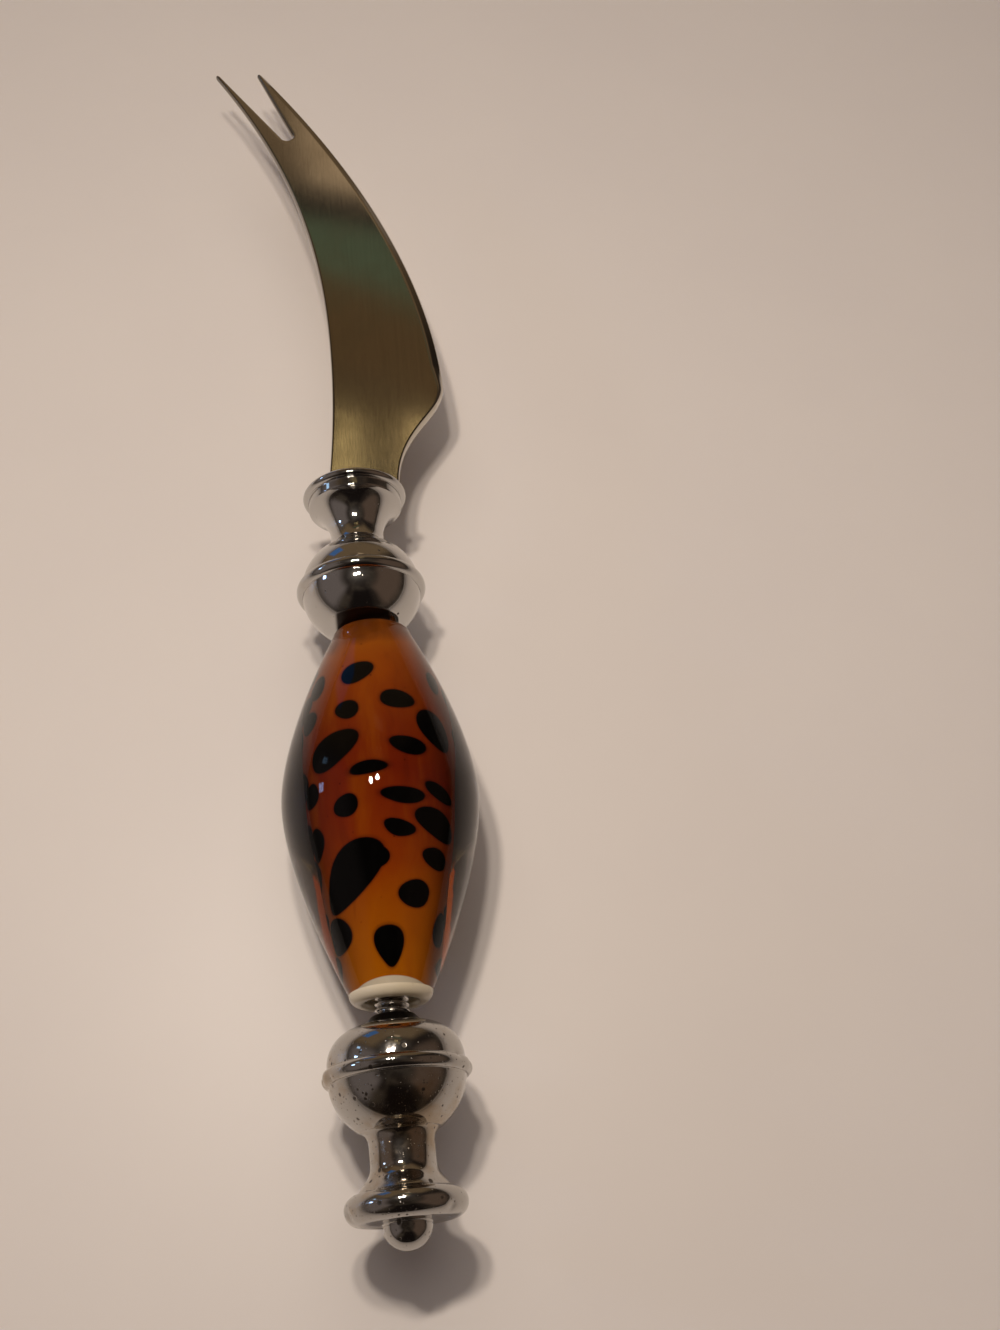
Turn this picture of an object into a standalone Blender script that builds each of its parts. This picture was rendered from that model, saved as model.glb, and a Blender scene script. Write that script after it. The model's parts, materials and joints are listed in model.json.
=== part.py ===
"""Fork-tipped cheese knife with a glass bead for a handle.

The blade's tang is set in a cast ferrule. A steel rod stands out of the ferrule's other end,
the bead is threaded on the rod, and a cast finial screws onto the rod's end and keeps it there.
The rod's axis is +Y, towards the prongs, and the blade lies flat in the XY plane.
"""

import math

import bmesh
import bpy
import numpy as np
from mathutils import Matrix, Vector

MM = 0.001

# Fineness of the facets: a flat, not a corner, is lowest on each turned piece, so it can lie still
TURN_STEPS = 36
ARC_STEPS = 6
LAYER_STEPS = 18
CASING_STEPS = 24
BLADE_STEPS = 48
SMOOTH_ANGLE = math.radians(35)
MERGE = 0.001 * MM

# The rod, threaded into the ferrule and the finial
ROD_RADIUS = 2.0 * MM
ROD_POINT = 0.4 * MM
THREAD_DEPTH = 8.2 * MM
THREAD_CLEARANCE = 0.15 * MM
SOCKET_END_GAP = 0.8 * MM

# The glass bead, and the layers that it is wound from
BEAD_LENGTH = 48.0 * MM
BEAD_RADIUS = 12.2 * MM
BELLY_SHIFT = 0.9 * MM
BEAD_FULLNESS = 1.5
BORE_CLEARANCE = 1.0 * MM
BORE_FLARE = 0.45 * MM
CORE_WALL = 0.6 * MM
AMBER_RADIUS = 6.4 * MM
AMBER_END_WALL = 0.5 * MM
CLEAR_END_WALL = 0.4 * MM
CASING_ROUNDING = 0.4 * MM
CAP_LENGTH = 1.9 * MM
CAP_WALL = 1.3 * MM
CAP_ROUNDING = 0.8 * MM
LAYER_GAP = 0.2 * MM
FRONT_GAP = 0.3 * MM
END_PLAY = 1.4 * MM

# The nose, ball and ring that both castings begin with, next to the bead
NOSE_WALL = 0.35 * MM
NOSE_LENGTH = 1.1 * MM
NOSE_FLARE = 1.0 * MM
BALL_RADIUS = 7.85 * MM
BALL_HALF_LENGTH = 7.4 * MM
BALL_CUT = 5.45 * MM
BALL_END_RADIUS = 4.5 * MM
RING_PROUD = 0.65 * MM
RING_WIDTH = 1.7 * MM
NECK_FILLET = 1.5 * MM

# The ferrule's neck and the lipped cup that the blade stands in
FERRULE_NECK_RADIUS = 3.55 * MM
FERRULE_NECK_LENGTH = 2.3 * MM
CUP_LENGTH = 5.8 * MM
CUP_RADIUS = 6.3 * MM
CUP_FLARE_ANGLE = math.radians(18)
CUP_PULL = 2.0 * MM
LIP_PROUD = 0.7 * MM
LIP_THICKNESS = 1.2 * MM

# The finial's neck, flange and button
FINIAL_NECK_RADIUS = 3.65 * MM
FINIAL_NECK_LENGTH = 3.4 * MM
FLANGE_FLARE_LENGTH = 2.9 * MM
FLANGE_FLARE_ANGLE = math.radians(32)
FLANGE_PULL = 1.3 * MM
FLANGE_RADIUS = 6.75 * MM
FLANGE_THICKNESS = 3.2 * MM
BUTTON_RADIUS = 2.7 * MM
BUTTON_LENGTH = 2.9 * MM
BUTTON_DOME = 2.45 * MM

# The blade, measured along the axis from its shoulders
BLADE_LENGTH = 83.1 * MM
BLADE_THICKNESS = 1.8 * MM
TIP_THICKNESS = 1.0 * MM
TAPER_START = 48.0 * MM
SPINE_STRAIGHT = 23.1 * MM
SPINE_OFFSET = 2.0 * MM
SPINE_SHOULDER = 1.6 * MM
SPINE_CURL = 15.6 * MM
SPINE_CURVE = 2.7
HEEL_POSITION = 17.3 * MM
HEEL_REACH = 13.8 * MM
HEEL_PULL = 4.8 * MM
SHOULDER_REACH = 6.3 * MM
SHOULDER_PULL = 9.7 * MM
SHOULDER_FILLET = 0.5 * MM
EDGE_SWEEP = 24.0 * MM
EDGE_CURVE = 1.8
EDGE_THICKNESS = 0.35 * MM
GRIND_WIDTH = 1.5 * MM
GRIND_RUN_IN = 6.9 * MM
BLADE_CHAMFER = 0.25 * MM
TANG_WIDTH = 6.0 * MM
TANG_LENGTH = 5.2 * MM
SEAT_CLEARANCE = 0.3 * MM

# The fork's gap between the prongs
FORK_DEPTH = 14.6 * MM
FORK_CREST_RADIUS = 0.9 * MM
FORK_CREST_SHARE = 0.44
FORK_RUN_OUT = 4.0 * MM
PRONG_TIP_WIDTH = 0.7 * MM

# Sizes that follow from those above; a casting's places are counted from its nose
BEAD_FRONT = BEAD_LENGTH / 2
BEAD_REAR = -BEAD_LENGTH / 2
BORE_RADIUS = ROD_RADIUS + BORE_CLEARANCE
CORE_RADIUS = BORE_RADIUS + CORE_WALL
AMBER_BORE = CORE_RADIUS + LAYER_GAP
BEAD_FRONT_RADIUS = AMBER_BORE + AMBER_END_WALL + LAYER_GAP + CLEAR_END_WALL
BEAD_REAR_RADIUS = BORE_RADIUS + CAP_WALL
CAP_EDGE = BEAD_REAR + CAP_LENGTH
LAYERS_REAR = CAP_EDGE + LAYER_GAP
SOCKET_RADIUS = ROD_RADIUS + THREAD_CLEARANCE
NOSE_TIP_RADIUS = SOCKET_RADIUS + NOSE_WALL
NOSE_BASE_RADIUS = NOSE_TIP_RADIUS + NOSE_FLARE
RING_RADIUS = BALL_RADIUS + RING_PROUD
BALL_CENTRE = NOSE_LENGTH + BALL_CUT
BALL_END = BALL_CENTRE + BALL_HALF_LENGTH * math.sqrt(1 - (BALL_END_RADIUS / BALL_RADIUS) ** 2)
FERRULE_SOCKET = THREAD_DEPTH + SOCKET_END_GAP
FINIAL_SOCKET = THREAD_DEPTH + END_PLAY + NOSE_LENGTH + SOCKET_END_GAP
FERRULE_NOSE = BEAD_FRONT + FRONT_GAP
FINIAL_NOSE = BEAD_REAR - END_PLAY
FERRULE_NECK = BALL_END + FERRULE_NECK_LENGTH
CUP_EDGE = FERRULE_NECK + CUP_LENGTH
FERRULE_LENGTH = CUP_EDGE + LIP_THICKNESS
FERRULE_FACE = FERRULE_NOSE + FERRULE_LENGTH
BLADE_SHOULDERS = FERRULE_FACE + SEAT_CLEARANCE
FINIAL_NECK = BALL_END + FINIAL_NECK_LENGTH
FLANGE_FRONT = FINIAL_NECK + FLANGE_FLARE_LENGTH
FLANGE_REAR = FLANGE_FRONT + FLANGE_THICKNESS


def material(name, colour, metallic, roughness, transmission=0.0):
    """One Principled finish."""
    finish = bpy.data.materials.new(name)
    finish.use_nodes = True
    shader = finish.node_tree.nodes["Principled BSDF"]
    shader.inputs["Base Color"].default_value = (*colour, 1)
    shader.inputs["Metallic"].default_value = metallic
    shader.inputs["Roughness"].default_value = roughness
    shader.inputs["Transmission Weight"].default_value = transmission
    return finish


def finished(name, shape, finish):
    """The shape as a named object, its faces turned outwards and its round stretches smooth."""
    bmesh.ops.recalc_face_normals(shape, faces=shape.faces)
    mesh = bpy.data.meshes.new(name)
    shape.to_mesh(mesh)
    shape.free()
    mesh.materials.append(finish)
    mesh.shade_smooth()
    mesh.set_sharp_from_angle(angle=SMOOTH_ANGLE)
    piece = bpy.data.objects.new(name, mesh)
    bpy.context.collection.objects.link(piece)
    return piece


def turned(name, outline, finish, closed):
    """A body of revolution about +Y from (radius, y) points; closed for a tube's wall."""
    start = math.pi / TURN_STEPS
    shape = bmesh.new()
    corners = [
        shape.verts.new((r * math.cos(start), y, r * math.sin(start))) for r, y in outline
    ]
    after = corners[1:] + corners[:1] if closed else corners[1:]
    sides = [shape.edges.new(pair) for pair in zip(corners, after)]
    bmesh.ops.spin(
        shape,
        geom=corners + sides,
        axis=(0, 1, 0),
        angle=2 * math.pi,
        steps=TURN_STEPS,
        use_merge=True,
    )
    bmesh.ops.remove_doubles(shape, verts=shape.verts, dist=MERGE)
    return finished(name, shape, finish)


def prism(name, outline, depth, finish):
    """An (x, y) outline pushed out to half of depth on either side of the XY plane."""
    shape = bmesh.new()
    face = shape.faces.new([shape.verts.new((x, y, -depth / 2)) for x, y in outline])
    wall = bmesh.ops.extrude_face_region(shape, geom=[face])
    top = [part for part in wall["geom"] if isinstance(part, bmesh.types.BMVert)]
    bmesh.ops.translate(shape, verts=top, vec=(0, 0, depth))
    return finished(name, shape, finish)


def cut(piece, cutter):
    """Take the cutter's volume out of the piece."""
    cutter.hide_render = True
    cutter.display_type = "WIRE"
    boolean = piece.modifiers.new(cutter.name, "BOOLEAN")
    boolean.operation = "DIFFERENCE"
    boolean.object = cutter


def bezier(start, pull_start, pull_end, end, steps):
    """Points of a cubic curve after its start, up to its end."""
    points = []
    for step in range(1, steps + 1):
        t = step / steps
        points.append(
            tuple(
                (1 - t) ** 3 * a + 3 * (1 - t) ** 2 * t * b + 3 * (1 - t) * t**2 * c + t**3 * d
                for a, b, c, d in zip(start, pull_start, pull_end, end)
            )
        )
    return points


def flare(start, leaving, end, arriving, pull):
    """A turned outline's curve that leaves and arrives at set angles to the axis."""
    first = (start[0] + pull * math.tan(leaving), start[1] + pull)
    last = (end[0] - pull * math.tan(arriving), end[1] - pull)
    return bezier(start, first, last, end, ARC_STEPS)


def arc(centre, half_axes, first, last, steps=ARC_STEPS):
    """Points along an ellipse, by angles counted from its radius axis."""
    angles = [first + (last - first) * k / steps for k in range(steps + 1)]
    return [
        (centre[0] + half_axes[0] * math.cos(a), centre[1] + half_axes[1] * math.sin(a))
        for a in angles
    ]


def along(first, last, steps):
    """Evenly spaced places from first to last."""
    return [first + (last - first) * k / steps for k in range(steps + 1)]


def bead_radius(y, belly, front, rear):
    """A glass layer's radius: full at the belly, falling to either end by a power of the way."""
    if y > BELLY_SHIFT:
        end, reach = front, BEAD_FRONT - BELLY_SHIFT
    else:
        end, reach = rear, BELLY_SHIFT - BEAD_REAR
    return belly - (belly - end) * (abs(y - BELLY_SHIFT) / reach) ** BEAD_FULLNESS


def clear_radius(y):
    """The bead's outside."""
    return bead_radius(y, BEAD_RADIUS, BEAD_FRONT_RADIUS, BEAD_REAR_RADIUS)


def amber_radius(y):
    """The amber layer runs out towards the ends, where the clear glass over it is thinnest."""
    over_it = LAYER_GAP + CLEAR_END_WALL
    front = BEAD_FRONT_RADIUS - over_it
    rear = max(BEAD_REAR_RADIUS - over_it, AMBER_BORE + LAYER_GAP)
    return bead_radius(y, AMBER_RADIUS, front, rear)


def bead_core(finish):
    """White glass tube that flares into the cap at the bead's rear end."""
    rounding = min(CAP_ROUNDING, CAP_WALL - BORE_FLARE, CAP_LENGTH)
    shoulder = BEAD_REAR + rounding
    inset = clear_radius(shoulder) - rounding
    bore = [
        (BORE_RADIUS + min(BORE_FLARE, CORE_WALL / 2), BEAD_FRONT),
        (BORE_RADIUS, BEAD_FRONT - BORE_FLARE),
        (BORE_RADIUS, BEAD_REAR + BORE_FLARE),
        (BORE_RADIUS + BORE_FLARE, BEAD_REAR),
    ]
    cap = arc((inset, shoulder), (rounding, rounding), -math.pi / 2, 0)
    cap += [(clear_radius(CAP_EDGE), CAP_EDGE)]
    tube = [(CORE_RADIUS, CAP_EDGE), (CORE_RADIUS, BEAD_FRONT)]
    return turned("bead_core", bore + cap + tube, finish, closed=True)


def bead_amber(finish):
    """Amber layer over the core, from the cap to the front end."""
    bore = [(AMBER_BORE, BEAD_FRONT), (AMBER_BORE, LAYERS_REAR)]
    outside = [(amber_radius(y), y) for y in along(LAYERS_REAR, BEAD_FRONT, LAYER_STEPS)]
    return turned("bead_amber", bore + outside, finish, closed=True)


def bead_casing(finish):
    """Clear outer gather: the bead's own fat two-ended shape, hollow where the amber lies."""
    rounding = min(CASING_ROUNDING, CLEAR_END_WALL)
    lip = BEAD_FRONT - rounding
    inside = [(amber_radius(y) + LAYER_GAP, y) for y in along(BEAD_FRONT, LAYERS_REAR, LAYER_STEPS)]
    outside = [(clear_radius(y), y) for y in along(LAYERS_REAR, lip, CASING_STEPS)]
    end = arc((clear_radius(lip) - rounding, lip), (rounding, rounding), 0, math.pi / 2)
    return turned("bead_casing", inside + outside + end[1:], finish, closed=True)


def casting_front(socket_depth, neck_radius):
    """(radius, distance from the nose) of the stretch that both castings begin with.

    It runs from the socket's bottom over the conical nose and the flat shoulder to the ball,
    with its ring, and ends with the fillet that takes the ball in to the neck.
    """
    ball = (BALL_RADIUS, BALL_HALF_LENGTH)
    centre = (0, BALL_CENTRE)
    flat = math.asin(-BALL_CUT / BALL_HALF_LENGTH)
    ring = math.asin(RING_WIDTH / 2 / BALL_HALF_LENGTH)
    ball_end = math.acos(BALL_END_RADIUS / BALL_RADIUS)
    seat = BALL_RADIUS * math.cos(ring)
    hollow = (BALL_END_RADIUS - neck_radius, NECK_FILLET)
    outline = [(0, socket_depth), (SOCKET_RADIUS, socket_depth), (SOCKET_RADIUS, 0)]
    outline += [(NOSE_TIP_RADIUS, 0), (NOSE_BASE_RADIUS, NOSE_LENGTH)]
    outline += arc(centre, ball, flat, -ring)
    bead = arc((seat, BALL_CENTRE), (RING_RADIUS - seat, RING_WIDTH / 2), -math.pi / 2, math.pi / 2)
    outline += bead[1:-1]
    outline += arc(centre, ball, ring, ball_end)
    fillet = arc((BALL_END_RADIUS, BALL_END + NECK_FILLET), hollow, -math.pi / 2, -math.pi)
    return outline + fillet[1:]


def front_ferrule(finish):
    """Plated casting: nose, ringed ball, neck, and a lipped cup whose face carries the blade."""
    neck = (FERRULE_NECK_RADIUS, FERRULE_NECK)
    edge = (CUP_RADIUS, CUP_EDGE)
    lip = LIP_THICKNESS / 2
    outline = casting_front(FERRULE_SOCKET, FERRULE_NECK_RADIUS) + [neck]
    outline += flare(neck, CUP_FLARE_ANGLE, edge, 0, CUP_PULL)
    outline += arc((CUP_RADIUS, CUP_EDGE + lip), (LIP_PROUD, lip), -math.pi / 2, math.pi / 2)[1:]
    outline += [(0, FERRULE_LENGTH)]
    placed = [(r, FERRULE_NOSE + distance) for r, distance in outline]
    ferrule = turned("front_ferrule", placed, finish, closed=False)
    half = TANG_WIDTH / 2 + SEAT_CLEARANCE
    bottom = BLADE_SHOULDERS - TANG_LENGTH - SEAT_CLEARANCE
    mouth = FERRULE_FACE + LIP_THICKNESS
    slot = [(-half, bottom), (half, bottom), (half, mouth), (-half, mouth)]
    cut(ferrule, prism("tang_slot", slot, BLADE_THICKNESS + 2 * SEAT_CLEARANCE, finish))
    return ferrule


def finial(finish):
    """Plated casting: the same nose and ball, then a neck, a round-edged flange and a button."""
    half = FLANGE_THICKNESS / 2
    crown = FLANGE_RADIUS - half
    neck = (FINIAL_NECK_RADIUS, FINIAL_NECK)
    dome = min(BUTTON_DOME, BUTTON_LENGTH)
    outline = casting_front(FINIAL_SOCKET, FINIAL_NECK_RADIUS) + [neck]
    outline += flare(neck, 0, (crown, FLANGE_FRONT), FLANGE_FLARE_ANGLE, FLANGE_PULL)
    outline += arc((crown, FLANGE_FRONT + half), (half, half), -math.pi / 2, math.pi / 2)[1:]
    outline += [(BUTTON_RADIUS, FLANGE_REAR)]
    outline += arc((0, FLANGE_REAR + BUTTON_LENGTH - dome), (BUTTON_RADIUS, dome), 0, math.pi / 2)
    placed = [(r, FINIAL_NOSE - distance) for r, distance in outline]
    return turned("finial", placed, finish, closed=False)


def rod(finish):
    """Threaded steel rod from the ferrule's socket to the finial's."""
    front = FERRULE_NOSE + THREAD_DEPTH
    rear = FINIAL_NOSE - THREAD_DEPTH
    point = ROD_RADIUS - ROD_POINT
    outline = [(0, rear), (point, rear), (ROD_RADIUS, rear + ROD_POINT)]
    outline += [(ROD_RADIUS, front - ROD_POINT), (point, front), (0, front)]
    return turned("rod", outline, finish, closed=False)


def spine_x(distance):
    """The concave back edge: nearly straight to the middle, then curling away to the tip."""
    beyond = distance - SPINE_STRAIGHT
    if beyond < 0:
        return -SPINE_OFFSET - SPINE_SHOULDER * (beyond / SPINE_STRAIGHT) ** 2
    return -SPINE_OFFSET - SPINE_CURL * (beyond / (BLADE_LENGTH - SPINE_STRAIGHT)) ** SPINE_CURVE


def edge_x(distance):
    """The convex front edge: out from the shoulder to the heel, then the cutting edge's sweep."""
    beyond = distance - HEEL_POSITION
    if beyond > 0:
        return HEEL_REACH - EDGE_SWEEP * (beyond / (BLADE_LENGTH - HEEL_POSITION)) ** EDGE_CURVE
    shoulder = (SHOULDER_REACH, 0)
    heel = (HEEL_REACH, HEEL_POSITION)
    after_shoulder = (SHOULDER_REACH, SHOULDER_PULL)
    before_heel = (HEEL_REACH, HEEL_POSITION - HEEL_PULL)
    reach, place = zip(shoulder, *bezier(shoulder, after_shoulder, before_heel, heel, BLADE_STEPS))
    return float(np.interp(distance, place, reach))


def blade_section(distance, back, front):
    """Corners round the blade at one distance: a square back and a ground front edge."""
    taper = max(0, distance - TAPER_START) / (BLADE_LENGTH - TAPER_START)
    half = (BLADE_THICKNESS + (TIP_THICKNESS - BLADE_THICKNESS) * taper) / 2
    ground = min(1, max(0, (distance - HEEL_POSITION) / GRIND_RUN_IN + 0.5))
    width = BLADE_CHAMFER + (GRIND_WIDTH - BLADE_CHAMFER) * ground
    square = half - BLADE_CHAMFER
    land = square + (EDGE_THICKNESS / 2 - square) * ground
    y = BLADE_SHOULDERS + distance
    return [
        Vector((back + BLADE_CHAMFER, y, -half)),
        Vector((back, y, -square)),
        Vector((back, y, square)),
        Vector((back + BLADE_CHAMFER, y, half)),
        Vector((front - width, y, half)),
        Vector((front, y, land)),
        Vector((front, y, -land)),
        Vector((front - width, y, -half)),
    ]


def blade(finish):
    """Stamped and ground steel: sections from the tang to the prongs, and the fork's gap cut out."""
    tang = TANG_WIDTH / 2
    sections = [blade_section(-TANG_LENGTH, -tang, tang), blade_section(0, -tang, tang)]
    for distance in along(SHOULDER_FILLET, BLADE_LENGTH, BLADE_STEPS):
        sections.append(blade_section(distance, spine_x(distance), edge_x(distance)))
    shape = bmesh.new()
    rings = [[shape.verts.new(corner) for corner in section] for section in sections]
    for ring, after in zip(rings, rings[1:]):
        for k, corner in enumerate(ring):
            following = (k + 1) % len(ring)
            shape.faces.new((corner, ring[following], after[following], after[k]))
    shape.faces.new(rings[0][::-1])
    shape.faces.new(rings[-1])
    knife = finished("blade", shape, finish)
    cut(knife, prism("fork_gap", fork_gap(), BLADE_THICKNESS * 2, finish))
    return knife


def fork_gap():
    """Outline of the gap between the prongs: a round crest, and straight sides past the two tips."""
    tips = BLADE_SHOULDERS + BLADE_LENGTH
    root = BLADE_LENGTH - FORK_DEPTH
    across = spine_x(root) + (edge_x(root) - spine_x(root)) * FORK_CREST_SHARE
    crest = Vector((across, tips - FORK_DEPTH))
    ends = []
    roots = []
    for edge, inward in ((edge_x(BLADE_LENGTH), -1), (spine_x(BLADE_LENGTH), 1)):
        tip = Vector((edge + inward * PRONG_TIP_WIDTH, tips))
        way = (tip - crest).normalized()
        ends.append(tip + way * FORK_RUN_OUT)
        roots.append(math.atan2(way.x * inward, -way.y * inward))
    first, last = roots
    if last > first:
        last -= 2 * math.pi
    round_end = arc(crest, (FORK_CREST_RADIUS, FORK_CREST_RADIUS), first, last, 2 * ARC_STEPS)
    return [tuple(ends[0])] + round_end + [tuple(ends[1])]


def empty(name, parent, y):
    """A place on the rod's axis that carries pieces."""
    place = bpy.data.objects.new(name, None)
    bpy.context.collection.objects.link(place)
    place.parent = parent
    place.location.y = y
    return place


def lowest_and_highest(pieces):
    """The corners of the box round the finished pieces."""
    bpy.context.view_layer.update()
    graph = bpy.context.evaluated_depsgraph_get()
    corners = [
        piece.matrix_world @ Vector(corner)
        for piece in pieces
        for corner in piece.evaluated_get(graph).bound_box
    ]
    return (
        Vector([min(corner[k] for corner in corners) for k in range(3)]),
        Vector([max(corner[k] for corner in corners) for k in range(3)]),
    )


for old in list(bpy.data.objects):
    bpy.data.objects.remove(old)

handle = empty("handle", None, 0)
bead_turn = empty("bead_turn", handle, 0)
finial_travel = empty("finial_travel", bead_turn, FINIAL_NOSE)

fixed = [
    blade(material("blade_steel", (0.42, 0.38, 0.34), 1.0, 0.28)),
    front_ferrule(material("ferrule_plating", (0.75, 0.74, 0.73), 1.0, 0.12)),
    rod(material("rod_steel", (0.60, 0.60, 0.60), 1.0, 0.25)),
]
layers = [
    bead_core(material("white_glass", (0.78, 0.75, 0.67), 0.0, 0.12)),
    bead_amber(material("amber_glass", (0.66, 0.36, 0.07), 0.0, 0.10)),
    bead_casing(material("clear_glass", (0.92, 0.93, 0.92), 0.0, 0.03, transmission=1.0)),
]
cap = finial(material("finial_plating", (0.72, 0.70, 0.67), 1.0, 0.16))

for piece in fixed:
    piece.parent = handle
    for modifier in piece.modifiers:
        modifier.object.parent = handle
for piece in layers:
    piece.parent = bead_turn
cap.data.transform(Matrix.Translation((0, -FINIAL_NOSE, 0)))
cap.parent = finial_travel

# The origin is at the middle of the box's floor
low, high = lowest_and_highest(fixed + layers + [cap])
handle.location = (-(low.x + high.x) / 2, -(low.y + high.y) / 2, -low.z)
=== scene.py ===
import json
import math

import bmesh
import bpy
import numpy as np
from mathutils import Matrix, Vector


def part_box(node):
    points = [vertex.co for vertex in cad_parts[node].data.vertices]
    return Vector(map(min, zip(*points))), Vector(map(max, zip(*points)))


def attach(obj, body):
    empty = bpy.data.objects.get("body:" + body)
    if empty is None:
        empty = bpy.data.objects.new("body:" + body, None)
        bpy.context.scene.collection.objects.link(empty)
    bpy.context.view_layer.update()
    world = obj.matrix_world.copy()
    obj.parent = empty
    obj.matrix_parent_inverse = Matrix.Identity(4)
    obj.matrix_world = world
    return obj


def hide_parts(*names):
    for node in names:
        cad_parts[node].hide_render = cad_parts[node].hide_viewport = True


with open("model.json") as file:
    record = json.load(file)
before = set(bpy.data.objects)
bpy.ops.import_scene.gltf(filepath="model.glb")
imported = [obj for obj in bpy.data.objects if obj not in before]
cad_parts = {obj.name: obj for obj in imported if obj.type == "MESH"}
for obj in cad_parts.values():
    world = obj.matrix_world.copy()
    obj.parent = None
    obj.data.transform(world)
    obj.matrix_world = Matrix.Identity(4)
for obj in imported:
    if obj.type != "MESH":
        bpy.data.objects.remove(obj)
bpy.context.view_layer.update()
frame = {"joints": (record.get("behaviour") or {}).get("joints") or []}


# Blade
# Stamped from stainless sheet, ground along its convex side from the heel to the tip, and split
# there into two prongs. It is brushed lengthways to a satin finish, and its tang fills the
# ferrule's slot.
MM = 0.001
rod_axis = np.array(frame["joints"][0]["pos_m"])


def box_mm(node):
    """A CAD node's lowest and highest corners in millimetres from the bead's middle on the rod."""
    return [(np.array(corner) - rod_axis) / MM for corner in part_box(node)]


def placed(name, data):
    """A new object in the scene, made of a mesh, a light or a camera."""
    made = bpy.data.objects.new(name, data)
    bpy.context.collection.objects.link(made)
    return made


def skin(name, grids, material, around=True, attributes=None):
    """One closed mesh from grids of points (rows, columns, xyz) in millimetres from the bead's middle.

    Every cell of a grid is a four-sided face, the last column joins the first where the grid runs
    around, and points that fall together at seams and poles become one.
    """
    seam_gap = 0.0002
    sharp_degrees = 40
    cells = []
    start = 0
    for grid in grids:
        rows, columns = grid.shape[:2]
        index = start + np.arange(rows * columns).reshape(rows, columns)
        start += rows * columns
        if around:
            index = np.concatenate((index, index[:, :1]), axis=1)
        corners = (index[:-1, :-1], index[:-1, 1:], index[1:, 1:], index[1:, :-1])
        cells.append(np.stack(corners, axis=-1).reshape(-1, 4))
    points = rod_axis + MM * np.concatenate([grid.reshape(-1, 3) for grid in grids])
    mesh = bpy.data.meshes.new(name)
    mesh.from_pydata(points, [], np.concatenate(cells).tolist())
    for key, values in (attributes or {}).items():
        layer = mesh.attributes.new(key, "FLOAT", "POINT")
        layer.data.foreach_set("value", np.ravel(values).astype(np.float32))
    shape = bmesh.new()
    shape.from_mesh(mesh)
    bmesh.ops.remove_doubles(shape, verts=shape.verts, dist=seam_gap * MM)
    bmesh.ops.recalc_face_normals(shape, faces=shape.faces)
    shape.to_mesh(mesh)
    shape.free()
    mesh.shade_smooth()
    mesh.set_sharp_from_angle(angle=math.radians(sharp_degrees))
    mesh.materials.append(material)
    return placed(name, mesh)


blade_low, blade_high = box_mm("blade")
ferrule_low, ferrule_high = box_mm("front_ferrule")
blade_length = 83.1
shoulders = blade_high[1] - blade_length
tang_length = shoulders - blade_low[1]
tang_half = 3.0
seat = ferrule_high[1] - shoulders
half_thickness = blade_high[2]
half_tip = 0.5
taper_start = 48.0
taper_ease = 0.03
spine_straight = 23.1
spine_offset = 2.0
spine_shoulder = 1.6
spine_curl = 15.6
spine_power = 2.2
heel = 17.3
heel_reach = blade_high[0]
heel_pull = 4.8
shoulder_reach = 6.3
shoulder_pull = 9.7
edge_sweep = 24.0
edge_power = 1.8
edge_half = 0.17
grind_width = 1.1
grind_run_in = 6.9
fork_depth = 14.6
crest_radius = 0.9
crest_share = 0.44
prong_tip = 0.7
tip_round = 0.5
spine_round = 0.2
prong_round = 0.4
edge_round = 0.12
most_rounded = 0.48
least_width = 1e-4
bevel_blur = 0.1
near_crest_reach = 2.0
far_off = 9.0


def bezier(start, pull_start, pull_end, end, steps):
    """A cubic curve from start to end, drawn towards the two points between them."""
    t = np.linspace(0, 1, steps)[:, None]
    a, b, c, d = (np.array(point, float) for point in (start, pull_start, pull_end, end))
    return (1 - t) ** 3 * a + 3 * (1 - t) ** 2 * t * b + 3 * (1 - t) * t**2 * c + t**3 * d


def spine_at(d):
    """The concave back edge at d from the shoulders: nearly straight, then a power of the way beyond."""
    beyond = np.maximum(d - spine_straight, 0) / (blade_length - spine_straight)
    before = np.minimum(d - spine_straight, 0) / spine_straight
    return -spine_offset - spine_shoulder * before**2 - spine_curl * beyond**spine_power


def edge_at(d):
    """The convex edge: an S-curve out from the shoulder to the heel, then a power of the way beyond."""
    out = (shoulder_reach, shoulder_pull)
    rise = bezier((shoulder_reach, 0), out, (heel_reach, heel - heel_pull), (heel_reach, heel), 64)
    sweep = np.maximum(d - heel, 0) / (blade_length - heel)
    return np.interp(d, rise[:, 1], rise[:, 0]) - edge_sweep * sweep**edge_power


def rounded(distance, radius):
    """Share of the full height at a distance in from an edge: a quarter round, 1 past its radius."""
    way = np.clip(distance / radius, 0, 1)
    return np.sqrt(way * (2 - way))


crest_d = blade_length - fork_depth
crest_x = spine_at(crest_d) + (edge_at(crest_d) - spine_at(crest_d)) * crest_share
crest_low = crest_d - crest_radius
split_share = (crest_x - spine_at(crest_low)) / (edge_at(crest_low) - spine_at(crest_low))


def gap_side(d, tip_x, side):
    """x of the fork gap's side, the distance where its straight part starts, and that part's slope.

    Below the crest it is a line inside the blade, then the crest's circle, and from where the circle
    is square to the way to the tip it runs straight to the tip. side is -1 for the back prong.
    """
    way = np.array((tip_x - crest_x, fork_depth))
    way /= np.hypot(*way)
    root_x, root_d = crest_x + side * way[1] * crest_radius, crest_d - side * way[0] * crest_radius
    inside = spine_at(d) + (edge_at(d) - spine_at(d)) * split_share
    circle = crest_x + side * np.sqrt(np.maximum(crest_radius**2 - (d - crest_d) ** 2, 0))
    line = root_x + (tip_x - root_x) * (d - root_d) / (blade_length - root_d)
    across = np.where(d < crest_low, inside, np.where(d < root_d, circle, line))
    return across, root_d, way[1]


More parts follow.
